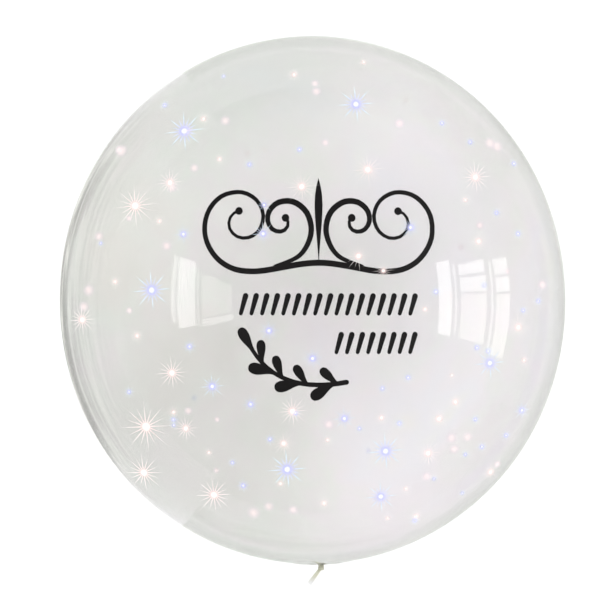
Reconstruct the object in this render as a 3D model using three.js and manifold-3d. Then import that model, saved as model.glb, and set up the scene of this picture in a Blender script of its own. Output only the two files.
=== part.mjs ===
// A clear bubble balloon, lying on the floor with its cut-vinyl decoration facing up.
// Millimetres, +Z up. The origin is the centre of the small flat spot that the balloon rests on.
// The balloon's own axis runs level along Y, with the crown at +Y and the tied neck at -Y.
import * as THREE from "three";
import { mergeVertices } from "three/addons/utils/BufferGeometryUtils.js";
import Module from "manifold-3d";

// Film envelope
const envelopeWidth = 600; // across the widest ring
const crownLength = 313.5; // widest ring to crown
const neckLength = 313; // widest ring to the neck, before the film is drawn in
const envelopeFullness = 0.004; // how far the shoulders stand out past a true ellipse
const restSpotRadius = 36; // flat spot pressed by the floor
const gatherRadius = 30; // ring where the film starts to be drawn in to the neck
const gatherLength = 2; // how far the gathered cone stands out
const envelopeSides = 60;
const envelopeRings = 40;

// Neck, knot and tail, all of the same film
const neckRadius = 2.6;
const neckStemLength = 0.5; // bare neck between the film and the knot
const knotRadius = 3.7;
const knotLength = 6.2;
const tailLength = 24; // from the middle of the knot to the cut end
const tailRootWidth = 3.4;
const tailEndWidth = 5.6;
const tailThickness = 1; // the flattened, pleated neck tube
const tailLean = 38; // degrees from the balloon's axis towards -X
const neckSides = 16;

// Cut-vinyl decoration, laid on the film
const vinylThickness = 0.4;
const vinylClearance = 0.3; // between the vinyl and the film
const decorationTurn = -1.84; // degrees about Z, because the balloon's axis leans in its decoration

// Scroll flourish, centred on its own point
const flourishCentre = { x: 5.8, y: 73 };
const flourishStroke = 6.5; // widest part of the line
const flourishTip = 3; // narrowest part of the line
const outerScroll = { x: 85.6, y: 11.2, start: 55.8, end: 11.2, from: -105, turns: 1.5 };
const innerScroll = { x: 41, y: 10.2, start: 48.4, end: 6, from: -80, turns: 1.4 };
const flourishDip = -33.5; // height of the line where the two halves meet
const scrollEyeRadius = 4.3; // round end of each scroll
const spearLength = 93; // upright leaf between the scrolls
const spearWidth = 8.4;

// Rows of slanted strokes
const strokeHeight = 25.4;
const strokeWidth = 6.1;
const strokeEndWidth = 4.3;
const strokePitch = 11.7;
const strokeSlant = 16; // degrees from upright
const upperRow = { right: 112.8, y: -4.8, count: 17 };
const lowerRow = { right: 112.8, y: -45.7, count: 8 };

// Leaf sprig
const sprigStart = { x: -67.8, y: -52.4 };
const sprigBend = { x: -38, y: -100.8 };
const sprigEnd = { x: 36.6, y: -87.2 };
const sprigStemStart = 4.3; // stem width at the tip leaf
const sprigStemEnd = 5.4; // stem width at the cut end
const leafBaseWidth = 4.3;
const tipLeaf = { length: 28.8, width: 11.5, angle: 121 };
const upperLeaves = { count: 4, first: 0.16, step: 0.255, length: 24.2, width: 10.2, angle: 93, turn: 15 };
const lowerLeaves = { count: 3, first: 0.32, step: 0.288, length: 28.8, width: 12.7, angle: 168, turn: 22 };

const envelopeRadius = envelopeWidth / 2;
const axisHeight = Math.sqrt(envelopeRadius ** 2 - restSpotRadius ** 2);
const neckTip = -(neckLength + gatherLength);
const knotMiddle = neckTip - neckStemLength - knotLength / 2;
const smoothCut = 1e-3; // vertices closer than this are one

const wasm = await Module();
wasm.setup();

// Solids and geometry

function toSolid(geometry) {
  geometry.deleteAttribute("normal");
  geometry.deleteAttribute("uv");
  const merged = mergeVertices(geometry, smoothCut);
  return new wasm.Manifold(
    new wasm.Mesh({
      numProp: 3,
      vertProperties: merged.attributes.position.array,
      triVerts: new Uint32Array(merged.index.array),
    }),
  );
}

function toGeometry(solid) {
  const mesh = solid.getMesh();
  const geometry = new THREE.BufferGeometry();
  geometry.setAttribute("position", new THREE.BufferAttribute(mesh.vertProperties, 3));
  geometry.setIndex(new THREE.BufferAttribute(mesh.triVerts, 1));
  return geometry;
}

function joined(solids) {
  return solids.reduce((whole, solid) => whole.add(solid));
}

const radians = THREE.MathUtils.degToRad;

function towards(angle, length = 1) {
  return new THREE.Vector2(length * Math.cos(radians(angle)), length * Math.sin(radians(angle)));
}

// Film envelope

// The radius and place along Y of the film at an angle from the neck, pushed out by an offset.
function envelopePoint(angle, offset) {
  const half = angle < Math.PI / 2 ? neckLength : crownLength;
  const full = 1 + envelopeFullness * Math.sin(2 * angle) ** 2;
  const radius = (envelopeRadius + offset) * Math.sin(angle) * full;
  const drawn = angle < Math.PI / 2 ? Math.max(0, 1 - radius / gatherRadius) : 0;
  return new THREE.Vector2(radius, -(half + offset) * Math.cos(angle) - gatherLength * drawn ** 2);
}

// Rings are closer together at the neck, where the film gathers.
function envelopeSolid(offset = 0) {
  const profile = [];
  for (let i = 0; i <= envelopeRings; i += 1) {
    const share = i / envelopeRings;
    const angle = Math.PI * (share - 0.045 * Math.sin(Math.PI * share) * (1 + Math.cos(Math.PI * share)));
    profile.push(envelopePoint(angle, offset));
  }
  profile[0].x = 0;
  profile[envelopeRings].x = 0;
  const lathe = new THREE.LatheGeometry(profile, envelopeSides);
  return toSolid(lathe.translate(0, 0, axisHeight));
}

function neckAndKnot() {
  const stemLength = neckStemLength + gatherLength + knotLength / 2;
  const stem = new THREE.CylinderGeometry(neckRadius, neckRadius, stemLength, neckSides);
  stem.translate(0, knotMiddle + stemLength / 2, axisHeight);
  const knot = new THREE.SphereGeometry(knotRadius, neckSides, neckSides / 2);
  knot.scale(1, knotLength / (2 * knotRadius), 1);
  knot.translate(0, knotMiddle, axisHeight);
  return toSolid(stem).add(toSolid(knot));
}

// The cut end of the neck tube, pressed flat, that leaves the knot at a slant.
function neckTail() {
  const outline = new THREE.Shape();
  outline.moveTo(-tailRootWidth / 2, 0);
  outline.quadraticCurveTo(-tailRootWidth / 2, -tailLength / 2, -tailEndWidth / 2, -tailLength);
  outline.lineTo(tailEndWidth / 2, -tailLength);
  outline.quadraticCurveTo(tailRootWidth / 2, -tailLength / 2, tailRootWidth / 2, 0);
  const strip = new THREE.ExtrudeGeometry(outline, {
    depth: tailThickness,
    bevelEnabled: false,
    curveSegments: 6,
  });
  strip.translate(0, 0, -tailThickness / 2);
  strip.rotateZ(-radians(tailLean));
  strip.translate(0, knotMiddle, axisHeight);
  return toSolid(strip);
}

function floorBlock() {
  const size = 2 * envelopeWidth;
  return toSolid(new THREE.BoxGeometry(size, size, size).translate(0, 0, -size / 2));
}

function filmEnvelope() {
  return joined([envelopeSolid(), neckAndKnot(), neckTail()]).subtract(floorBlock());
}

// Cut vinyl

// The layer of vinyl that would cover the upper half of the film.
const vinylLayer = envelopeSolid(vinylClearance + vinylThickness).subtract(
  envelopeSolid(vinylClearance),
);

// A flat shape pressed down on the film: a tall prism, cut out of the vinyl layer.
function prism(shape, curveSegments = 10) {
  const block = new THREE.ExtrudeGeometry(shape, {
    depth: envelopeWidth,
    bevelEnabled: false,
    curveSegments,
  });
  block.translate(0, 0, axisHeight);
  return toSolid(block);
}

function pressedOn(solid) {
  return vinylLayer.intersect(solid.rotate([0, 0, decorationTurn]));
}

// A brush line along a curve: its width follows widthAt, from 0 at the start to 1 at the end.
function brushShape(curve, widthAt, steps) {
  const left = [];
  const right = [];
  for (let i = 0; i <= steps; i += 1) {
    const share = i / steps;
    const point = curve.getPointAt(share);
    const across = curve.getTangentAt(share).rotateAround(new THREE.Vector2(), Math.PI / 2);
    across.multiplyScalar(widthAt(share) / 2);
    left.push(point.clone().add(across));
    right.unshift(point.clone().sub(across));
  }
  return new THREE.Shape([...left, ...right]);
}

// A line with straight sides and half-round ends, wider at one end if asked.
function barShape(start, end, startWidth, endWidth) {
  const along = end.clone().sub(start).angle();
  const shape = new THREE.Shape();
  shape.absarc(end.x, end.y, endWidth / 2, along - Math.PI / 2, along + Math.PI / 2);
  shape.absarc(start.x, start.y, startWidth / 2, along + Math.PI / 2, along + 1.5 * Math.PI);
  return shape;
}

function discShape(x, y, radius) {
  return new THREE.Shape().absarc(x, y, radius, 0, 2 * Math.PI);
}

// Scroll flourish

// A scroll tightens from its start radius to its end radius, turning left for +1 and right for -1.
function scrollPoint(scroll, share, side) {
  const radius = scroll.start * (scroll.end / scroll.start) ** share;
  const angle = scroll.from + 360 * scroll.turns * share * side;
  return towards(angle, radius).add(new THREE.Vector2(scroll.x, scroll.y));
}

function scrollPoints(scroll, side) {
  const count = Math.round(9 * scroll.turns);
  return Array.from({ length: count + 1 }, (_, i) => scrollPoint(scroll, i / count, side));
}

// One long line runs through both outer scrolls and is thickest in the middle.
function flourishLine() {
  const right = scrollPoints(outerScroll, 1);
  const left = right.map((point) => new THREE.Vector2(-point.x, point.y)).reverse();
  const curve = new THREE.SplineCurve([...left, new THREE.Vector2(0, flourishDip), ...right]);
  const middle = (share) => 1 - Math.abs(2 * share - 1) ** 1.6;
  const width = (share) => THREE.MathUtils.lerp(flourishTip, flourishStroke, middle(share));
  return prism(brushShape(curve, width, 108));
}

// Each inner scroll leaves the long line along it.
function innerCurl() {
  const curve = new THREE.SplineCurve(scrollPoints(innerScroll, -1));
  const swell = (share) => Math.sin(Math.PI * share) ** 0.8;
  const width = (share) => THREE.MathUtils.lerp(flourishTip, flourishStroke, swell(share));
  return prism(brushShape(curve, width, 36));
}

function scrollEye(scroll, side) {
  const eye = scrollPoint(scroll, 1, side);
  return prism(discShape(eye.x, eye.y, scrollEyeRadius), 7);
}

// A slim upright leaf, widest above its middle.
function spear() {
  const foot = flourishDip - flourishStroke / 4;
  const tip = foot + spearLength;
  const waist = foot + spearLength * 0.5;
  const belly = foot + spearLength * 0.72;
  const shape = new THREE.Shape();
  shape.moveTo(0, foot);
  shape.bezierCurveTo(-spearWidth / 3, waist, -spearWidth, belly, 0, tip);
  shape.bezierCurveTo(spearWidth, belly, spearWidth / 3, waist, 0, foot);
  return prism(shape, 8);
}

function scrollFlourish() {
  const half = joined([innerCurl(), scrollEye(innerScroll, -1), scrollEye(outerScroll, 1)]);
  const flat = joined([flourishLine(), half, half.mirror([1, 0, 0]), spear()]);
  return pressedOn(flat.translate([flourishCentre.x, flourishCentre.y, 0]));
}

// Rows of slanted strokes

function rowStroke(row, index) {
  const middle = new THREE.Vector2(row.right - strokeWidth / 2 - index * strokePitch, row.y);
  const lean = towards(90 - strokeSlant, (strokeHeight - strokeWidth) / 2);
  const shape = barShape(middle.clone().sub(lean), middle.clone().add(lean), strokeEndWidth, strokeWidth);
  return pressedOn(prism(shape, 3));
}

// Leaf sprig

const sprigStem = new THREE.QuadraticBezierCurve(
  new THREE.Vector2(sprigStart.x, sprigStart.y),
  new THREE.Vector2(sprigBend.x, sprigBend.y),
  new THREE.Vector2(sprigEnd.x, sprigEnd.y),
);

// A leaf that is narrow at the stem, widest two thirds of the way out and round at its tip.
function leafPrism(base, length, width, angle) {
  const wide = width / 2;
  const slim = leafBaseWidth / 2;
  const shape = new THREE.Shape();
  shape.moveTo(0, -slim);
  shape.bezierCurveTo(length * 0.3, -slim, length * 0.45, -wide, length * 0.7, -wide);
  shape.bezierCurveTo(length * 0.9, -wide, length, -wide * 0.6, length, 0);
  shape.bezierCurveTo(length, wide * 0.6, length * 0.9, wide, length * 0.7, wide);
  shape.bezierCurveTo(length * 0.45, wide, length * 0.3, slim, 0, slim);
  return prism(shape, 5).rotate([0, 0, angle]).translate([base.x, base.y, 0]);
}

function sideLeaves(leaves) {
  const made = [];
  for (let i = 0; i < leaves.count; i += 1) {
    const base = sprigStem.getPoint(leaves.first + leaves.step * i);
    made.push(leafPrism(base, leaves.length, leaves.width, leaves.angle + leaves.turn * i));
  }
  return made;
}

function leafSprig() {
  const stemWidth = (share) => THREE.MathUtils.lerp(sprigStemStart, sprigStemEnd, share);
  const stem = prism(brushShape(sprigStem, stemWidth, 14));
  const stemEnd = prism(discShape(sprigEnd.x, sprigEnd.y, sprigStemEnd / 2), 6);
  const tip = leafPrism(sprigStem.getPoint(0.02), tipLeaf.length, tipLeaf.width, tipLeaf.angle);
  const leaves = [tip, ...sideLeaves(upperLeaves), ...sideLeaves(lowerLeaves)];
  return pressedOn(joined([stem, stemEnd, ...leaves]));
}

// Materials and the finished balloon

const film = new THREE.MeshStandardMaterial({
  color: 0xe4e5e2,
  roughness: 0.08,
  metalness: 0,
  transparent: true,
  opacity: 0.35,
});
const vinyl = new THREE.MeshStandardMaterial({ color: 0x161415, roughness: 0.45, metalness: 0 });

function named(name, solid, material) {
  const mesh = new THREE.Mesh(toGeometry(solid), material);
  mesh.name = name;
  return mesh;
}

function strokeRow(name, row) {
  const group = new THREE.Group();
  for (let i = 0; i < row.count; i += 1) {
    const number = String(row.count - i).padStart(2, "0");
    group.add(named(`${name}_${number}`, rowStroke(row, i), vinyl));
  }
  return group;
}

const balloon = new THREE.Group();
balloon.add(
  named("film_envelope", filmEnvelope(), film),
  named("scroll_flourish", scrollFlourish(), vinyl),
  strokeRow("upper_stroke", upperRow),
  strokeRow("lower_stroke", lowerRow),
  named("leaf_sprig", leafSprig(), vinyl),
);

export default balloon;
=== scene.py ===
import math
import random

import bmesh
import bpy
from mathutils import Matrix, Vector


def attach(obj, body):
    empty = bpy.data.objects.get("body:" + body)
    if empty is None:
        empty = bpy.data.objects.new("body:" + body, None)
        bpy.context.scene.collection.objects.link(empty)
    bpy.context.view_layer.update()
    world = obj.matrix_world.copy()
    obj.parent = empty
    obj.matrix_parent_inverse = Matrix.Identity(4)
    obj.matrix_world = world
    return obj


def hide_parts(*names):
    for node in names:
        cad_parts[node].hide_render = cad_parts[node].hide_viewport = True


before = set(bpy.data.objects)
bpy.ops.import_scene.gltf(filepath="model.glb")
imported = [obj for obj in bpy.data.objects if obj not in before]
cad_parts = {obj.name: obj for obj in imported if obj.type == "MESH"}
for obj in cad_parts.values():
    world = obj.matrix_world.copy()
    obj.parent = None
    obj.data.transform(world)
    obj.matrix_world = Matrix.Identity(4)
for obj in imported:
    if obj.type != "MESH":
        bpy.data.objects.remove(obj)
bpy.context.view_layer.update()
print("frame loaded")

# the balloon lies with its axis along Y, crown at +Y, its own centre this high
axisHeight = 0.29783
pictureTurn = math.radians(1.84)     # the crown leans this far to the left in the picture
weldDistance = 1e-6
white = (1.0, 1.0, 1.0, 1.0)


def newPiece(name, bm, material, replaced=("film_envelope",), smooth=True):
    mesh = bpy.data.meshes.new(name)
    bm.to_mesh(mesh)
    bm.free()
    for face in mesh.polygons:
        face.use_smooth = smooth
    piece = bpy.data.objects.new(name, mesh)
    bpy.context.scene.collection.objects.link(piece)
    mesh.materials.append(material)
    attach(piece, "root")
    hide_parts(*replaced)
    return piece


camera = {
    "lens": 200.0,
    "sensorWidth": 36.0,
    "nearest": 0.05,
    "farthest": 60.0,
    "height": 3.9665,         # above the balloon's own axis
    "centreRight": 12.5,      # pixels from the picture's centre to the balloon's
    "centreUp": -0.15,
    "pictureWidth": 600,
}


def makeCamera(c):
    data = bpy.data.cameras.new("camera")
    data.lens = c["lens"]
    data.sensor_width = c["sensorWidth"]
    data.clip_start = c["nearest"]
    data.clip_end = c["farthest"]
    cam = bpy.data.objects.new("camera", data)
    bpy.context.scene.collection.objects.link(cam)
    perPixel = data.sensor_width / data.lens * c["height"] / c["pictureWidth"]
    offset = Vector((-c["centreRight"] * perPixel, -c["centreUp"] * perPixel, 0.0))
    offset.rotate(Matrix.Rotation(-pictureTurn, 3, "Z"))
    cam.location = offset + Vector((0.0, 0.0, axisHeight + c["height"]))
    cam.rotation_euler = (0.0, 0.0, -pictureTurn)
    bpy.context.scene.camera = cam


makeCamera(camera)
bpy.context.scene.view_settings.view_transform = "Standard"
print("camera set")


def nodeGroup(name, inputs, outputs):
    group = bpy.data.node_groups.new(name, "ShaderNodeTree")
    for label, kind, value in inputs:
        made = group.interface.new_socket(label, in_out="INPUT", socket_type=kind)
        made.default_value = value
    for label, kind in outputs:
        group.interface.new_socket(label, in_out="OUTPUT", socket_type=kind)
    start = group.nodes.new("NodeGroupInput")
    end = group.nodes.new("NodeGroupOutput")
    return group, start, end


finerNoise = 5.0     # the second noise of the clouding is this much finer than the first


def makeStreakGroup():
    # slow, uneven clouding: two noises of different size, blended
    group, start, end = nodeGroup(
        "uneven clouding",
        [("Scale", "NodeSocketFloat", 5.0), ("Fine", "NodeSocketFloat", 0.4)],
        [("Mask", "NodeSocketFloat")],
    )
    nodes, links = group.nodes, group.links
    place = nodes.new("ShaderNodeTexCoord")
    broad = nodes.new("ShaderNodeTexNoise")
    fine = nodes.new("ShaderNodeTexNoise")
    times = nodes.new("ShaderNodeMath")
    times.operation = "MULTIPLY"
    times.inputs[1].default_value = finerNoise
    mix = nodes.new("ShaderNodeMix")
    links.new(place.outputs["Object"], broad.inputs["Vector"])
    links.new(place.outputs["Object"], fine.inputs["Vector"])
    links.new(start.outputs["Scale"], broad.inputs["Scale"])
    links.new(start.outputs["Scale"], times.inputs[0])
    links.new(times.outputs[0], fine.inputs["Scale"])
    links.new(start.outputs["Fine"], mix.inputs["Factor"])
    links.new(broad.outputs["Fac"], mix.inputs["A"])
    links.new(fine.outputs["Fac"], mix.inputs["B"])
    links.new(mix.outputs["Result"], end.inputs["Mask"])
    return group


def makePatchGroup():
    # 1 in the middle of a round patch, fading softly to 0 at its edge
    group, start, end = nodeGroup(
        "soft patch",
        [("Centre", "NodeSocketVector", (0.0, 0.0, 0.0)), ("Radius", "NodeSocketFloat", 0.1)],
        [("Mask", "NodeSocketFloat")],
    )
    nodes, links = group.nodes, group.links
    place = nodes.new("ShaderNodeTexCoord")
    away = nodes.new("ShaderNodeVectorMath")
    away.operation = "DISTANCE"
    fall = nodes.new("ShaderNodeMapRange")
    fall.interpolation_type = "SMOOTHERSTEP"
    fall.inputs["From Min"].default_value = 0.0
    fall.inputs["To Min"].default_value = 1.0
    fall.inputs["To Max"].default_value = 0.0
    links.new(place.outputs["Object"], away.inputs[0])
    links.new(start.outputs["Centre"], away.inputs[1])
    links.new(away.outputs["Value"], fall.inputs["Value"])
    links.new(start.outputs["Radius"], fall.inputs["From Max"])
    links.new(fall.outputs["Result"], end.inputs["Mask"])
    return group


clouding = makeStreakGroup()
softPatch = makePatchGroup()


def startMaterial(name):
    material = bpy.data.materials.new(name)
    material.use_nodes = True
    nodes = material.node_tree.nodes
    return material, nodes, material.node_tree.links, nodes["Principled BSDF"]


def placeClouding(nodes, scaleAndFine):
    node = nodes.new("ShaderNodeGroup")
    node.node_tree = clouding
    node.inputs["Scale"].default_value, node.inputs["Fine"].default_value = scaleAndFine
    return node


def placeRange(nodes, start=(0.0, 1.0), end=(0.0, 1.0)):
    # turns values between the two of start into values between the two of end
    node = nodes.new("ShaderNodeMapRange")
    for label, value in zip(("From Min", "From Max", "To Min", "To Max"), (*start, *end)):
        node.inputs[label].default_value = value
    return node


def fillRamp(node, stops):
    # stops are a position and a colour each, from first to last
    elements = node.color_ramp.elements
    elements[0].position = stops[0][0]
    elements[1].position = stops[-1][0]
    for stop in stops[1:-1]:
        elements.new(stop[0])
    for element, (position, colour) in zip(elements, stops):
        element.color = colour


clearFilm = {
    "wall": 0.00016,
    "ior": 1.4,
    "roughness": 0.06,
    "transmission": 0.93,
    "reflection": (0.74, 0.74, 0.73, 1.0),
    "rim": (0.37, 0.38, 0.36, 1.0),
    "rimBlend": 0.22,
    "rimSharpness": 1.5,
    "clouding": (6.0, 0.18),  # scale, and share of the finer noise
    "cloudingFrom": (0.40, 0.60),
    "cloudingTo": (0.34, 0.66),
    "shadeSlope": (1.0, -0.12, 0.0),     # painted shade: the tints run darker towards the left and crown, lighter towards the right and neck, in this direction
    "shadeSlopeFrom": (-0.3, 0.3),
    "shadeSlopeTo": (0.27, 0.71),
    "shadeSlopeShare": 0.5,        # the rest is clouding, the film's own uneven tint
    "tintsAndShade": [
        # left and crown first, right and neck last; the darker ones on the left are painted shade
        (0.26, (0.870, 0.880, 0.845, 1.0)),
        (0.35, (0.895, 0.885, 0.865, 1.0)),
        (0.42, (0.900, 0.918, 0.890, 1.0)),
        (0.48, (0.930, 0.910, 0.915, 1.0)),
        (0.53, (0.935, 0.940, 0.920, 1.0)),
        (0.58, (0.955, 0.930, 0.943, 1.0)),
        (0.64, (0.945, 0.938, 0.958, 1.0)),
        (0.69, (0.955, 0.950, 0.930, 1.0)),
        (0.75, (0.975, 0.955, 0.958, 1.0)),
    ],
    "tintAndShadePatches": [
        # middle, radius and colour of the broad areas: faint iridescent tints, and painted shade
        # where an area is darker, as the large dark one at the lower left
        ((-0.160, -0.150, 0.51), 0.23, (0.825, 0.820, 0.805, 1.0)),
        ((-0.060, 0.240, 0.47), 0.20, (0.840, 0.870, 0.840, 1.0)),
        ((0.080, -0.250, 0.44), 0.15, (0.990, 0.955, 0.985, 1.0)),
        ((0.140, 0.070, 0.55), 0.17, (0.905, 0.895, 0.915, 1.0)),
        ((-0.215, 0.090, 0.48), 0.13, (0.930, 0.925, 0.900, 1.0)),
    ],
}


def makeClearFilm(c):
    material, nodes, links, shader = startMaterial("clear film")
    shader.inputs["IOR"].default_value = c["ior"]
    shader.inputs["Transmission Weight"].default_value = c["transmission"]
    shader.inputs["Roughness"].default_value = c["roughness"]
    shader.inputs["Specular Tint"].default_value = c["reflection"]
    mask = placeClouding(nodes, c["clouding"])
    spread = placeRange(nodes, c["cloudingFrom"], c["cloudingTo"])
    spread.clamp = False
    tintsAndShade = nodes.new("ShaderNodeValToRGB")
    fillRamp(tintsAndShade, c["tintsAndShade"])
    place = nodes.new("ShaderNodeTexCoord")
    # painted shade: a gradient across the film darkens it towards the left, blended with the real
    # clouding
    shadeSlope = nodes.new("ShaderNodeVectorMath")
    shadeSlope.operation = "DOT_PRODUCT"
    shadeSlope.inputs[1].default_value = c["shadeSlope"]
    across = placeRange(nodes, c["shadeSlopeFrom"], c["shadeSlopeTo"])
    cloudingAndShade = nodes.new("ShaderNodeMix")
    cloudingAndShade.inputs["Factor"].default_value = c["shadeSlopeShare"]
    facing = nodes.new("ShaderNodeLayerWeight")
    facing.inputs["Blend"].default_value = c["rimBlend"]
    sharpen = nodes.new("ShaderNodeMath")
    sharpen.operation = "POWER"
    sharpen.inputs[1].default_value = c["rimSharpness"]
    edge = nodes.new("ShaderNodeMix")
    edge.data_type = "RGBA"
    edge.inputs["B"].default_value = c["rim"]
    links.new(place.outputs["Object"], shadeSlope.inputs[0])
    links.new(shadeSlope.outputs["Value"], across.inputs["Value"])
    links.new(mask.outputs["Mask"], spread.inputs["Value"])
    links.new(spread.outputs["Result"], cloudingAndShade.inputs["A"])
    links.new(across.outputs["Result"], cloudingAndShade.inputs["B"])
    links.new(cloudingAndShade.outputs["Result"], tintsAndShade.inputs["Fac"])
    links.new(facing.outputs["Facing"], sharpen.inputs[0])
    links.new(sharpen.outputs[0], edge.inputs["Factor"])
    colour = tintsAndShade.outputs["Color"]
    # each patch tints the film faintly or paints shade on it
    for centre, radius, tone in c["tintAndShadePatches"]:
        patch = nodes.new("ShaderNodeGroup")
        patch.node_tree = softPatch
        patch.inputs["Centre"].default_value = centre
        patch.inputs["Radius"].default_value = radius
        over = nodes.new("ShaderNodeMix")
        over.data_type = "RGBA"
        over.inputs["B"].default_value = tone
        links.new(patch.outputs["Mask"], over.inputs["Factor"])
        links.new(colour, over.inputs["A"])
        colour = over.outputs["Result"]
    links.new(colour, edge.inputs["A"])
    links.new(edge.outputs["Result"], shader.inputs["Base Color"])
    return material


blackVinyl = {
    "dark": (0.0040, 0.0034, 0.0036, 1.0),
    "light": (0.0085, 0.0075, 0.0078, 1.0),
    "gloss": 0.085,
    "roughness": (0.38, 0.55),
    "clouding": (40.0, 0.5),
}


def makeBlackVinyl(c):
    material, nodes, links, shader = startMaterial("black cut vinyl")
    shader.inputs["Specular IOR Level"].default_value = c["gloss"]
    mask = placeClouding(nodes, c["clouding"])
    tone = nodes.new("ShaderNodeMix")
    tone.data_type = "RGBA"
    tone.inputs["A"].default_value = c["dark"]
    tone.inputs["B"].default_value = c["light"]
    rough = placeRange(nodes, end=c["roughness"])
    links.new(mask.outputs["Mask"], tone.inputs["Factor"])
    links.new(tone.outputs["Result"], shader.inputs["Base Color"])
    links.new(mask.outputs["Mask"], rough.inputs["Value"])
    links.new(rough.outputs["Result"], shader.inputs["Roughness"])
    return material


gatheredFilm = {
    "ior": 1.4,
    "transmission": 0.3,
    "along": (-0.321, -0.336),     # Y, from the end of the tightly gathered film to the cut
    "tones": [
        (0.00, (0.62, 0.62, 0.48, 1.0)),
        (0.20, (0.80, 0.80, 0.66, 1.0)),
        (0.45, (0.80, 0.80, 0.66, 1.0)),
        (1.00, (0.93, 0.93, 0.93, 1.0)),
    ],
    "roughness": (0.2, 0.5),
    "clouding": (260.0, 0.5),
    "bump": 0.35,
    "bumpHeight": 0.0003,
}


def makeGatheredFilm(c):
    # many layers of the same film lie on each other, so it is cloudy and faintly olive
    material, nodes, links, shader = startMaterial("gathered film")
    shader.inputs["IOR"].default_value = c["ior"]
    shader.inputs["Transmission Weight"].default_value = c["transmission"]
    place = nodes.new("ShaderNodeTexCoord")
    split = nodes.new("ShaderNodeSeparateXYZ")
    along = placeRange(nodes, start=c["along"])
    tones = nodes.new("ShaderNodeValToRGB")
    fillRamp(tones, c["tones"])
    mask = placeClouding(nodes, c["clouding"])
    rough = placeRange(nodes, end=c["roughness"])
    bump = nodes.new("ShaderNodeBump")
    bump.inputs["Strength"].default_value = c["bump"]
    bump.inputs["Distance"].default_value = c["bumpHeight"]
    links.new(place.outputs["Object"], split.inputs["Vector"])
    links.new(split.outputs["Y"], along.inputs["Value"])
    links.new(along.outputs["Result"], tones.inputs["Fac"])
    links.new(tones.outputs["Color"], shader.inputs["Base Color"])
    links.new(mask.outputs["Mask"], rough.inputs["Value"])
    links.new(rough.outputs["Result"], shader.inputs["Roughness"])
    links.new(mask.outputs["Mask"], bump.inputs["Height"])
    links.new(bump.outputs["Normal"], shader.inputs["Normal"])
    return material


filmMaterial = makeClearFilm(clearFilm)
gatheredMaterial = makeGatheredFilm(gatheredFilm)
vinylMaterial = makeBlackVinyl(blackVinyl)
print("materials made")


bubble = {
    "radius": 0.3,
    "crown": 0.3135,          # lengths from the widest ring
    "neck": 0.313,
    "fullness": 0.004,        # how far the shoulders stand out past a true ellipse
    "gatherRadius": 0.03,
    "gatherLength": 0.002,
    "pleats": 13,
    "pleatDepth": 0.0011,
    "pleatReach": 0.045,      # how far from the neck the pleats run out
    "pleatFade": 1.5,
    "around": 156,            # faces
    "along": 120,
}


def filmPoint(direction, offset=0.0, b=bubble):
    # the film's surface in a direction from the balloon's centre; direction.y runs along the axis
    d = direction.normalized()
    half = b["neck"] if d.y < 0 else b["crown"]
    angle = math.acos(max(-1.0, min(1.0, -d.y)))
    full = 1 + b["fullness"] * math.sin(2 * angle) ** 2
    radius = (b["radius"] + offset) * math.sin(angle) * full
    drawn = max(0.0, 1 - radius / b["gatherRadius"]) if d.y < 0 else 0.0
    along = -(half + offset) * math.cos(angle) - b["gatherLength"] * drawn ** 2
    side = Vector((d.x, 0.0, d.z))
    side = side.normalized() if side.length > 1e-9 else Vector((1.0, 0.0, 0.0))
    return Vector((side.x * radius, along, side.z * radius + axisHeight))


def makeBubble(b):
    bm = bmesh.new()
    bmesh.ops.create_uvsphere(bm, u_segments=b["around"], v_segments=b["along"], radius=1.0)
    bmesh.ops.rotate(bm, verts=bm.verts, matrix=Matrix.Rotation(math.pi / 2, 3, "X"))
    for vert in bm.verts:
        vert.co = filmPoint(vert.co)
        vert.co.z = max(vert.co.z, 0.0)
        fromNeck = math.hypot(vert.co.x, vert.co.z - axisHeight)
        if vert.co.y < 0 and fromNeck < b["pleatReach"]:
            share = fromNeck / b["pleatReach"]
            fold = math.cos(b["pleats"] * math.atan2(vert.co.z - axisHeight, vert.co.x))
            vert.co.y += b["pleatDepth"] * fold * math.sin(math.pi * share) ** b["pleatFade"]
    bmesh.ops.recalc_face_normals(bm, faces=bm.faces)
    piece = newPiece("film_bubble", bm, filmMaterial)
    wall = piece.modifiers.new("wall", "SOLIDIFY")
    wall.thickness = clearFilm["wall"]
    wall.offset = -1.0


makeBubble(bubble)
print("film bubble made")


neck = {
    "middle": -0.3186,        # the knot's middle along Y
    "stemRadius": 0.0023,
    "stemFlare": 1.5,         # wider by this at the film
    "stemLength": 0.0039,
    "stemPlace": 0.00165,     # its middle, from the knot's middle
    "stemSides": 26,
    "stemPleats": 13,
    "stemPleatDepth": 0.14,
    "wrapRadius": 0.0021,
    "wrapThickness": 0.00145,
    "wrapWidth": 1.15,        # how much wider than high a turn is
    "wrapTilts": (24, -21),   # degrees, one for each turn of the knot
    "wrapSlant": 0.7,         # the part of the tilt that also turns it about Z
    "wrapApart": 0.0008,
    "wrapSides": 14,
    "wrapSteps": 28,
    "wrapCreases": 9,
    "wrapCreaseDepth": 0.06,
    "tailLean": 38,           # degrees from the axis towards -X
    "tailLength": 0.0238,
    "tailRoot": 0.0017,       # half widths
    "tailEnd": 0.0028,
    "tailWidening": 0.8,
    "tailFaces": (20, 32),
    "tailFold": 0.00034,
    "tailFolds": 9.5,
    "tailFoldTwist": 1.3,
    "tailFoldLoss": 0.45,     # the part of the folds that is gone at the cut end
    "tailCurl": 0.0004,
    "tailCurlBend": 2.6,
    "tailRagged": 0.0006,
    "tailTeeth": 7,
    "tailRaggedReach": 12,    # a higher power keeps the ragged edge nearer to the end
    "tailWall": 0.00014,
}


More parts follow.
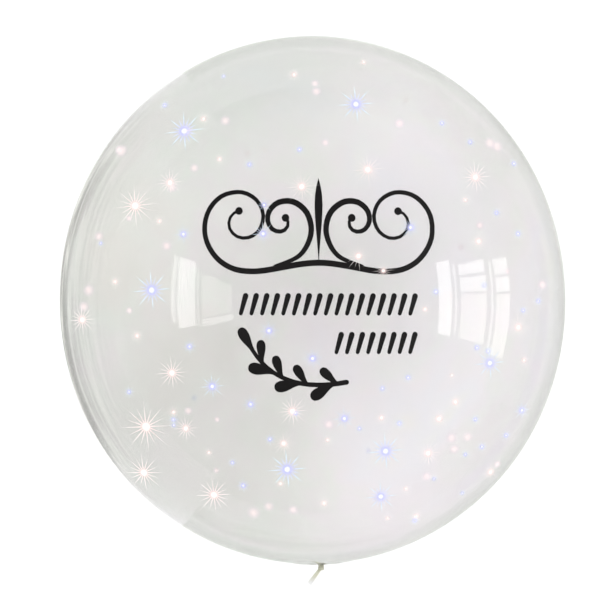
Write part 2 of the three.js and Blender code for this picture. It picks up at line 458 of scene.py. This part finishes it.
def addStem(bm, c):
    # a short tube of gathered film with pleats all round
    made = bmesh.ops.create_cone(
        bm, cap_ends=True, segments=c["stemSides"], radius1=c["stemRadius"],
        radius2=c["stemRadius"] * c["stemFlare"], depth=c["stemLength"],
    )
    for vert in made["verts"]:
        around = math.atan2(vert.co.y, vert.co.x)
        pleat = 1.0 + c["stemPleatDepth"] * math.cos(c["stemPleats"] * around)
        vert.co.x *= pleat
        vert.co.y *= pleat
    bmesh.ops.rotate(bm, verts=made["verts"], matrix=Matrix.Rotation(-math.pi / 2, 3, "X"))
    bmesh.ops.translate(bm, verts=made["verts"], vec=(0.0, c["stemPlace"], 0.0))


def addWrap(bm, c, tilt, shift):
    # one turn of the knot: a small round section spun about the neck, creased a little
    ring = bmesh.ops.create_circle(bm, segments=c["wrapSides"], radius=c["wrapThickness"])
    verts = ring["verts"]
    bmesh.ops.translate(bm, verts=verts, vec=(c["wrapRadius"], 0.0, 0.0))
    before = set(bm.verts)
    edges = [e for e in bm.edges if all(v in verts for v in e.verts)]
    bmesh.ops.spin(
        bm, geom=edges + verts, cent=(0, 0, 0), axis=(0, 1, 0), angle=2 * math.pi,
        steps=c["wrapSteps"], use_merge=True,
    )
    turn = list(verts) + [v for v in bm.verts if v not in before]
    for vert in turn:
        around = math.atan2(vert.co.z, vert.co.x)
        crease = 1.0 + c["wrapCreaseDepth"] * math.sin(c["wrapCreases"] * around + 3 * shift)
        vert.co = Vector((vert.co.x * crease, vert.co.y * c["wrapWidth"], vert.co.z * crease))
    lean = math.radians(tilt)
    bmesh.ops.rotate(bm, verts=turn, matrix=Matrix.Rotation(lean, 3, "X"))
    bmesh.ops.rotate(bm, verts=turn, matrix=Matrix.Rotation(lean * c["wrapSlant"], 3, "Z"))
    bmesh.ops.translate(bm, verts=turn, vec=(0.0, shift * c["wrapApart"], 0.0))


def makeKnot(c):
    bm = bmesh.new()
    addStem(bm, c)
    for shift, tilt in zip((1, -1), c["wrapTilts"]):
        addWrap(bm, c, tilt, shift)
    bmesh.ops.remove_doubles(bm, verts=bm.verts, dist=weldDistance)
    bmesh.ops.recalc_face_normals(bm, faces=bm.faces)
    bmesh.ops.translate(bm, verts=bm.verts, vec=(0.0, c["middle"], axisHeight))
    newPiece("neck_knot", bm, gatheredMaterial)


def makeTail(c):
    # the flattened neck below the knot: narrow and tightly pleated, then wider at its cut end
    bm = bmesh.new()
    across, along = c["tailFaces"]
    bmesh.ops.create_grid(bm, x_segments=across, y_segments=along, size=1.0)
    for vert in bm.verts:
        side, share = vert.co.x, (1.0 - vert.co.y) / 2
        half = c["tailRoot"] + (c["tailEnd"] - c["tailRoot"]) * share ** c["tailWidening"]
        wave = math.cos(c["tailFolds"] * side + c["tailFoldTwist"] * share)
        fold = c["tailFold"] * wave * (1.0 - c["tailFoldLoss"] * share)
        curl = c["tailCurl"] * math.sin(c["tailCurlBend"] * share) * side
        ragged = c["tailRagged"] * math.sin(c["tailTeeth"] * side) * share ** c["tailRaggedReach"]
        vert.co = Vector((side * half, -share * c["tailLength"] + ragged, fold + curl))
    lean = Matrix.Rotation(-math.radians(c["tailLean"]), 3, "Z")
    bmesh.ops.rotate(bm, verts=bm.verts, matrix=lean)
    bmesh.ops.translate(bm, verts=bm.verts, vec=(0.0, c["middle"], axisHeight))
    piece = newPiece("neck_tail", bm, gatheredMaterial)
    wall = piece.modifiers.new("wall", "SOLIDIFY")
    wall.thickness = c["tailWall"]
    wall.offset = 0.0


makeKnot(neck)
makeTail(neck)
print("neck, knot and tail made")


# painted glints: star-shaped discs on the film that glow by emission, though they are no lamps, as
# twinkles of light
paintedGlints = {
    "base": (0.02, 0.02, 0.02, 1.0),
    "roughness": 0.35,
    "gloss": 0.1,
    "glow": 1.12,
    "gap": 0.0005,            # between glint and film
    "floorGap": 0.0003,       # least height of the glints underneath
    "finerAbove": 0.0125,     # larger glints have more faces, to follow the curve of the film
    "finerCuts": 2,
    "alongLimit": 0.99,       # glints keep off the outermost ring, where the film is upright
    "acrossLimit": 0.985,
    "placedTurn": 0.05,
    "seed": 11,
    "scatterReach": 0.28,
    "scatterTurn": 0.3,
    "edge": 0.955,            # scattered glints keep to this part of the radius
    "belowShare": 0.12,
    "clearMiddle": 0.02,      # no scattered glints over the vinyl
    "clearAcross": 0.135,
    "clearUp": 0.125,
}

paintedGlintKinds = {
    # places are right, up and radius in millimetres, seen from above
    "blue": {
        "points": 16,
        "shortPoint": 0.60,
        "waist": 0.22,
        "colours": [
            (0.00, (1.00, 1.00, 1.00, 1.0), 1.0),
            (0.08, (0.92, 0.93, 1.00, 1.0), 1.0),
            (0.15, (0.50, 0.52, 0.95, 1.0), 0.82),
            (0.24, (0.62, 0.64, 1.00, 1.0), 0.46),
            (0.60, (0.74, 0.90, 1.00, 1.0), 0.60),
            (1.00, (0.88, 0.97, 1.00, 1.0), 0.10),
        ],
        "places": [
            (-139, 196, 27), (-180, 17, 26), (55, 219, 25), (-35, -188, 26), (75, -171, 25),
            (69, -224, 22), (196, -77, 22), (-53, 75, 15), (-3, -64, 15), (-50, -32, 15),
            (-142, 78, 14), (-115, -92, 17), (30, -132, 16), (110, 77, 15), (-73, -113, 13),
            (-51, 107, 10), (-211, -97, 9), (-66, 153, 9), (-139, -47, 11), (-85, -206, 11),
            (-53, -153, 9), (236, 150, 9), (-96, -179, 8), (-10, 168, 9), (210, 92, 9),
            (152, 196, 9), (235, -134, 13), (235, 68, 9), (73, -100, 8), (102, -89, 9),
            (184, 174, 9), (91, -140, 9), (186, -173, 9), (136, 5, 9), (181, -59, 9),
        ],
        "scattered": (20, 6, 9),     # how many, least and largest radius
    },
    "rose": {
        "points": 16,
        "shortPoint": 0.72,
        "waist": 0.13,
        "colours": [
            (0.00, (1.00, 1.00, 1.00, 1.0), 1.0),
            (0.08, (1.00, 0.97, 0.94, 1.0), 1.0),
            (0.15, (1.00, 0.78, 0.76, 1.0), 0.80),
            (0.26, (1.00, 0.86, 0.84, 1.0), 0.62),
            (0.60, (1.00, 0.94, 0.92, 1.0), 0.58),
            (1.00, (1.00, 0.98, 0.97, 1.0), 0.10),
        ],
        "places": [
            (-197, 113, 30), (-193, -137, 35), (-200, -192, 28), (-119, -217, 27), (-160, -76, 24),
            (-27, -122, 23), (51, 47, 19), (65, 143, 24), (187, 133, 24), (-9, 126, 22),
            (-265, -14, 22), (-156, 137, 21), (78, 30, 14), (-38, -158, 18), (136, -137, 18),
            (123, -176, 21), (155, -119, 15), (187, 60, 16), (231, -38, 19), (123, -14, 11),
            (-147, -139, 19), (-122, -167, 9), (-169, 94, 10), (198, -205, 16),
        ],
        "scattered": (20, 7, 13),
    },
    "soft": {
        "points": 6,
        "shortPoint": 1.0,
        "waist": 0.97,
        "colours": [
            (0.00, (1.00, 0.84, 0.84, 1.0), 0.60),
            (0.35, (0.98, 0.82, 0.84, 1.0), 0.44),
            (0.60, (0.96, 0.82, 0.88, 1.0), 0.22),
            (0.80, (0.96, 0.84, 0.92, 1.0), 0.08),
            (0.90, (0.96, 0.84, 0.92, 1.0), 0.02),
            (1.00, (0.96, 0.84, 0.92, 1.0), 0.0),
        ],
        "places": [(150, -160, 8), (-92, 205, 8), (-128, 152, 7), (10, 245, 6), (-30, -236, 7)],
        "scattered": (32, 4, 10),
    },
}


def makePaintedGlintMaterial(name, colours):
    # painted glints that glow: a bright middle, a tinted halo and fading points, by distance from
    # each glint's middle
    material, nodes, links, shader = startMaterial(name)
    shader.inputs["Base Color"].default_value = paintedGlints["base"]
    shader.inputs["Roughness"].default_value = paintedGlints["roughness"]
    shader.inputs["Specular IOR Level"].default_value = paintedGlints["gloss"]
    shader.inputs["Emission Strength"].default_value = paintedGlints["glow"]
    place = nodes.new("ShaderNodeUVMap")
    place.uv_map = "UVMap"
    reach = nodes.new("ShaderNodeVectorMath")
    reach.operation = "DISTANCE"
    reach.inputs[1].default_value = (0.5, 0.5, 0.0)
    double = nodes.new("ShaderNodeMath")
    double.operation = "MULTIPLY"
    double.inputs[1].default_value = 2.0
    tones = nodes.new("ShaderNodeValToRGB")
    cover = nodes.new("ShaderNodeValToRGB")
    fillRamp(tones, [(position, tone) for position, tone, alpha in colours])
    fillRamp(cover, [(position, (alpha, alpha, alpha, 1.0)) for position, tone, alpha in colours])
    links.new(place.outputs["UV"], reach.inputs[0])
    links.new(reach.outputs["Value"], double.inputs[0])
    links.new(double.outputs[0], tones.inputs["Fac"])
    links.new(double.outputs[0], cover.inputs["Fac"])
    # the painted glints glow by emission alone, over a black base
    links.new(tones.outputs["Color"], shader.inputs["Emission Color"])
    links.new(cover.outputs["Color"], shader.inputs["Alpha"])
    return material


def within(limit, value):
    return max(-limit, min(limit, value))


def filmAbove(right, up, offset, below=False, b=bubble):
    # the film's point straight above a place in plan, or straight below it
    along = within(paintedGlints["alongLimit"], up / (b["neck"] if up < 0 else b["crown"]))
    around = math.sqrt(1 - along * along)
    side = within(paintedGlints["acrossLimit"], right / (b["radius"] * around))
    rise = math.sqrt(1 - side * side) * (-1 if below else 1)
    return filmPoint(Vector((side * around, along, rise * around)), offset)


def addPaintedGlint(bm, kind, right, up, radius, turn, below=False):
    # each glint is made flat in a mesh of its own, because a subdivision in the shared mesh makes
    # its older vertices count as new; then it is laid on the film and added
    points = kind["points"]
    painted_glint = bmesh.new()
    uvLayer = painted_glint.loops.layers.uv.new("UVMap")
    bmesh.ops.create_circle(
        painted_glint, cap_ends=True, cap_tris=True, segments=points * 2, radius=1.0,
    )
    for vert in painted_glint.verts:
        if vert.co.length > 0.5:     # all but the middle: long point, waist, short point, waist
            step = round(math.atan2(vert.co.y, vert.co.x) / math.pi * points) % (points * 2)
            reach = kind["waist"] if step % 2 else (1.0 if step % 4 == 0 else kind["shortPoint"])
            vert.co = vert.co * reach
        vert.co.rotate(Matrix.Rotation(turn, 3, "Z"))
    if radius > paintedGlints["finerAbove"]:
        bmesh.ops.subdivide_edges(
            painted_glint, edges=painted_glint.edges[:], cuts=paintedGlints["finerCuts"], use_grid_fill=True,
        )
    for face in painted_glint.faces:
        for loop in face.loops:
            loop[uvLayer].uv = (0.5 + loop.vert.co.x / 2, 0.5 + loop.vert.co.y / 2)
    for vert in painted_glint.verts:
        place = right + vert.co.x * radius, up + vert.co.y * radius
        vert.co = filmAbove(*place, paintedGlints["gap"], below)
        vert.co.z = max(vert.co.z, paintedGlints["floorGap"])
    mesh = bpy.data.meshes.new("painted_glint")
    painted_glint.to_mesh(mesh)
    painted_glint.free()
    bm.from_mesh(mesh)
    bpy.data.meshes.remove(mesh)


def makePaintedGlints(kindName, kind, seed):
    # painted glints on the film that glow, some in set places and the rest scattered by a fixed
    # seed
    chance = random.Random(seed)
    placed, scatter = paintedGlints["placedTurn"], paintedGlints["scatterReach"]
    bm = bmesh.new()
    bm.loops.layers.uv.new("UVMap")
    for right, up, radius in kind["places"]:
        addPaintedGlint(bm, kind, right / 1000, up / 1000, radius / 1000, placed)
    count, least, most = kind["scattered"]
    while count > 0:
        right, up = chance.uniform(-scatter, scatter), chance.uniform(-scatter, scatter)
        if math.hypot(right, up) > bubble["radius"] * paintedGlints["edge"]:
            continue
        fromMiddle = abs(up - paintedGlints["clearMiddle"])
        if abs(right) < paintedGlints["clearAcross"] and fromMiddle < paintedGlints["clearUp"]:
            continue
        below = chance.random() < paintedGlints["belowShare"]
        radius = chance.uniform(least, most) / 1000
        turn = chance.uniform(0.0, paintedGlints["scatterTurn"])
        addPaintedGlint(bm, kind, right, up, radius, turn, below)
        count -= 1
    material = makePaintedGlintMaterial(f"{kindName} fleck", kind["colours"])
    newPiece(f"painted_glints_{kindName}", bm, material, smooth=False)


for number, (kindName, kind) in enumerate(paintedGlintKinds.items()):
    makePaintedGlints(kindName, kind, paintedGlints["seed"] + number)
print("painted_glints made")


vinyl = {
    "gap": 0.00004,
    "thickness": 0.00022,
    "longestEdge": 0.008,
    "upperFacing": 0.5,       # faces that look outwards by more than this are the upper side
}


def pressVinyl(name, nodeNames):
    # the cut shapes are laid on the curved film, their two sides at two heights above it
    bm = bmesh.new()
    for nodeName in nodeNames:
        bm.from_mesh(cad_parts[nodeName].data)
    bmesh.ops.remove_doubles(bm, verts=bm.verts, dist=weldDistance)
    centre = Vector((0.0, 0.0, axisHeight))
    while longEdges := [e for e in bm.edges if e.calc_length() > vinyl["longestEdge"]]:
        bmesh.ops.subdivide_edges(bm, edges=longEdges, cuts=1, use_grid_fill=False)
        bmesh.ops.triangulate(bm, faces=[f for f in bm.faces if len(f.verts) > 4])
    upper = set()
    for face in bm.faces:
        outwards = (face.calc_center_median() - centre).normalized()
        if face.normal.dot(outwards) > vinyl["upperFacing"]:
            upper.update(face.verts)
    for vert in bm.verts:
        height = vinyl["gap"] + (vinyl["thickness"] if vert in upper else 0.0)
        vert.co = filmPoint(vert.co - centre, height)
    newPiece(name, bm, vinylMaterial, nodeNames, smooth=False)


def nodesCalled(start):
    return sorted(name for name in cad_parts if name.startswith(start))


pressVinyl("vinyl_flourish", ["scroll_flourish"])
pressVinyl("vinyl_upper_strokes", nodesCalled("upper_stroke"))
pressVinyl("vinyl_lower_strokes", nodesCalled("lower_stroke"))
pressVinyl("vinyl_sprig", ["leaf_sprig"])
print("cut vinyl made")


studio = {
    "floorSize": 30.0,
    "floorDepth": 0.0005,
    "floor": (0.55, 0.55, 0.548, 1.0),
    "floorRoughness": 0.9,
    "floorGlow": 0.50,        # a light table, so the ground stays white under the balloon
    "sky": 1.32,
}


def stageObject(name, bm, material):
    mesh = bpy.data.meshes.new(name)
    bm.to_mesh(mesh)
    bm.free()
    mesh.materials.append(material)
    made = bpy.data.objects.new(name, mesh)
    bpy.context.scene.collection.objects.link(made)
    return made


def makeFloor(c):
    bm = bmesh.new()
    bmesh.ops.create_grid(bm, x_segments=1, y_segments=1, size=c["floorSize"] / 2)
    material, _, _, shader = startMaterial("pale floor")
    shader.inputs["Base Color"].default_value = c["floor"]
    shader.inputs["Roughness"].default_value = c["floorRoughness"]
    shader.inputs["Specular IOR Level"].default_value = 0.0
    shader.inputs["Emission Color"].default_value = white
    shader.inputs["Emission Strength"].default_value = c["floorGlow"]
    floor = stageObject("floor", bm, material)
    floor.location.z = -c["floorDepth"]


def makeSky(c):
    world = bpy.data.worlds.new("soft studio")
    world.use_nodes = True
    sky = world.node_tree.nodes["Background"]
    sky.inputs["Color"].default_value = white
    sky.inputs["Strength"].default_value = c["sky"]
    bpy.context.scene.world = world


makeFloor(studio)
makeSky(studio)


# cards round the balloon that show in the film's gloss alone;
# a profile is radius and height from the ground under the balloon's centre, in metres
glossCards = {
    "streaks": {
        "profile": [(0.33, 0.002), (1.16, 0.002), (1.22, 0.42)],
        "from": 118,          # degrees round the balloon from +X
        "to": 238,
        "stretch": (13.0, 2.4, 1.0),
        "tones": [(0.36, 0.22), (0.45, 0.48), (0.50, 1.0), (0.53, 0.66), (0.62, 0.30)],
        "tint": (1.0, 1.0, 0.95, 1.0),
        "fadeAlong": [(0.0, 0.0), (1.0, 0.35)],
        "fadeRound": [(0.0, 1.0), (0.35, 0.0), (0.7, 0.0), (1.0, 1.0)],
    },
    "shade": {
        "profile": [(1.30, 0.25), (1.40, 2.9)],
        "from": 66,
        "to": 300,
        "stretch": (2.0, 2.5, 1.0),
        "tones": [(0.30, 0.15), (0.70, 0.50)],
        "tint": (0.98, 1.0, 0.95, 1.0),
        "fadeAlong": [(0.0, 0.0), (0.6, 0.0), (1.0, 1.0)],
        "fadeRound": [(0.0, 1.0), (0.15, 0.0), (0.78, 0.0), (1.0, 1.0)],
    },
    "rimBand": {
        "profile": [(0.30, 0.0012), (0.70, 0.0012)],
        "from": -180,
        "to": 180,
        "stretch": (1.0, 9.0, 1.0),
        "tones": [(0.35, 0.66), (0.65, 0.86)],
        "tint": (0.97, 1.0, 0.95, 1.0),
        "fadeAlong": [(0.0, 0.0), (0.55, 0.15), (1.0, 1.0)],
        "fadeRound": [(0.0, 0.0), (1.0, 0.0)],
    },
    "lowerArc": {
        "profile": [(0.62, 0.0015), (0.99, 0.0015)],
        "from": 186,
        "to": 304,
        "stretch": (2.0, 4.0, 1.0),
        "tones": [(0.35, 0.58), (0.65, 0.84)],
        "tint": (0.99, 1.0, 0.95, 1.0),
        "fadeAlong": [(0.0, 0.5), (0.25, 0.0), (0.93, 0.0), (1.0, 1.0)],
        "fadeRound": [(0.0, 1.0), (0.25, 0.0), (0.7, 0.0), (1.0, 1.0)],
    },
    "lilacStrip": {
        "profile": [(0.68, 0.0018), (1.00, 0.0018)],
        "from": -64,
        "to": 30,
        "stretch": (1.0, 3.0, 1.0),
        "tones": [(0.35, 0.86), (0.65, 1.0)],
        "tint": (0.90, 0.82, 1.0, 1.0),
        "fadeAlong": [(0.0, 1.0), (0.25, 0.0), (0.7, 0.0), (1.0, 1.0)],
        "fadeRound": [(0.0, 1.0), (0.25, 0.0), (0.75, 0.0), (1.0, 1.0)],
    },
}
cardFinish = {"glow": 1.28, "detail": 1.2, "faces": (36, 48)}


def glossOnly(made):
    made.visible_camera = False
    made.visible_diffuse = False
    made.visible_transmission = False
    made.visible_shadow = False


def tinted(stops, tint=white):
    return [(place, (*(part * value for part in tint[:3]), 1.0)) for place, value in stops]


def cardPoint(profile, share):
    # the radius and height at a share of the way along a card's profile
    place = share * (len(profile) - 1)
    step = min(int(place), len(profile) - 2)
    part = place - step
    return [a + (b - a) * part for a, b in zip(profile[step], profile[step + 1])]


def makeCard(name, c):
    bm = bmesh.new()
    bm.loops.layers.uv.new("UVMap")
    outwards, around = cardFinish["faces"]
    bmesh.ops.create_grid(
        bm, x_segments=outwards, y_segments=around, size=1.0, calc_uvs=True,
    )
    for vert in bm.verts:
        reach, rise = cardPoint(c["profile"], (vert.co.x + 1) / 2)
        angle = math.radians(c["from"] + (c["to"] - c["from"]) * (vert.co.y + 1) / 2)
        vert.co = Vector((reach * math.cos(angle), reach * math.sin(angle), rise))
    material, nodes, links, shader = startMaterial(name)
    shader.inputs["Base Color"].default_value = (0.0, 0.0, 0.0, 1.0)
    shader.inputs["Specular IOR Level"].default_value = 0.0
    shader.inputs["Emission Strength"].default_value = cardFinish["glow"]
    place = nodes.new("ShaderNodeUVMap")
    place.uv_map = "UVMap"
    stretch = nodes.new("ShaderNodeMapping")
    stretch.inputs["Scale"].default_value = c["stretch"]
    noise = nodes.new("ShaderNodeTexNoise")
    noise.inputs["Scale"].default_value = 1.0
    noise.inputs["Detail"].default_value = cardFinish["detail"]
    tones = nodes.new("ShaderNodeValToRGB")
    fillRamp(tones, tinted(c["tones"], c["tint"]))
    split = nodes.new("ShaderNodeSeparateXYZ")
    links.new(place.outputs["UV"], stretch.inputs["Vector"])
    links.new(stretch.outputs["Vector"], noise.inputs["Vector"])
    links.new(noise.outputs["Fac"], tones.inputs["Fac"])
    links.new(place.outputs["UV"], split.inputs["Vector"])
    colour = tones.outputs["Color"]
    for axis, stops in (("X", c["fadeAlong"]), ("Y", c["fadeRound"])):
        fade = nodes.new("ShaderNodeValToRGB")
        fade.color_ramp.interpolation = "EASE"
        fillRamp(fade, tinted(stops))
        lighten = nodes.new("ShaderNodeMix")
        lighten.data_type = "RGBA"
        lighten.inputs["B"].default_value = white
        links.new(split.outputs[axis], fade.inputs["Fac"])
        links.new(fade.outputs["Color"], lighten.inputs["Factor"])
        links.new(colour, lighten.inputs["A"])
        colour = lighten.outputs["Result"]
    links.new(colour, shader.inputs["Emission Color"])
    glossOnly(stageObject(name, bm, material))


for cardName, card in glossCards.items():
    makeCard(cardName, card)


# each window is a few upright panes that face the balloon and show in the film's gloss
windows = {
    "right": {
        "wall": 0.62,         # along X from the balloon's axis
        "panes": [
            # low z, high z, low y, high y, strength, tint
            (0.434, 0.516, -0.200, 0.000, 4.1, "cream"),
            (0.434, 0.516, 0.008, 0.052, 4.7, "bright"),
            (0.434, 0.516, 0.060, 0.111, 4.7, "bright"),
            (0.531, 0.543, -0.180, 0.105, 4.2, "bright"),
            (0.569, 0.721, -0.169, 0.004, 4.9, "cream"),
            (0.569, 0.721, 0.013, 0.066, 6.5, "bright"),
            (0.569, 0.721, 0.078, 0.120, 6.5, "bright"),
            (0.744, 0.757, -0.165, 0.128, 6.1, "bright"),
            (0.777, 0.866, -0.170, 0.152, 8.9, "bright"),
        ],
    },
    "left": {
        "wall": -1.0,
        "panes": [
            (0.927, 0.972, -0.120, 0.330, 5.9, "bright"),
            (0.992, 1.206, -0.165, 0.325, 8.6, "bright"),
            (1.232, 1.252, -0.180, 0.270, 5.9, "bright"),
            (1.290, 1.560, -0.110, 0.240, 3.8, "cream"),
            (1.560, 1.830, -0.110, 0.205, 3.5, "cream"),
            (1.290, 1.830, -0.190, -0.125, 6.8, "bright"),
        ],
    },
}
windowTints = {"bright": (1.0, 0.995, 0.98), "cream": (1.0, 0.97, 0.90)}


def makePane(name, wall, pane):
    low, high, left, right, strength, tint = pane
    data = bpy.data.lights.new(name, "AREA")
    data.shape = "RECTANGLE"
    data.size = high - low
    data.size_y = right - left
    data.color = windowTints[tint]
    data.energy = strength * math.pi * data.size * data.size_y
    light = bpy.data.objects.new(name, data)
    bpy.context.scene.collection.objects.link(light)
    light.location = (wall, (left + right) / 2, (low + high) / 2)
    light.rotation_euler = (0.0, math.radians(90 if wall > 0 else -90), 0.0)
    light.visible_camera = False
    light.visible_diffuse = False
    light.visible_transmission = False


for side, window in windows.items():
    for number, pane in enumerate(window["panes"]):
        makePane(f"{side}_pane_{number}", window["wall"], pane)
print("floor and light made")
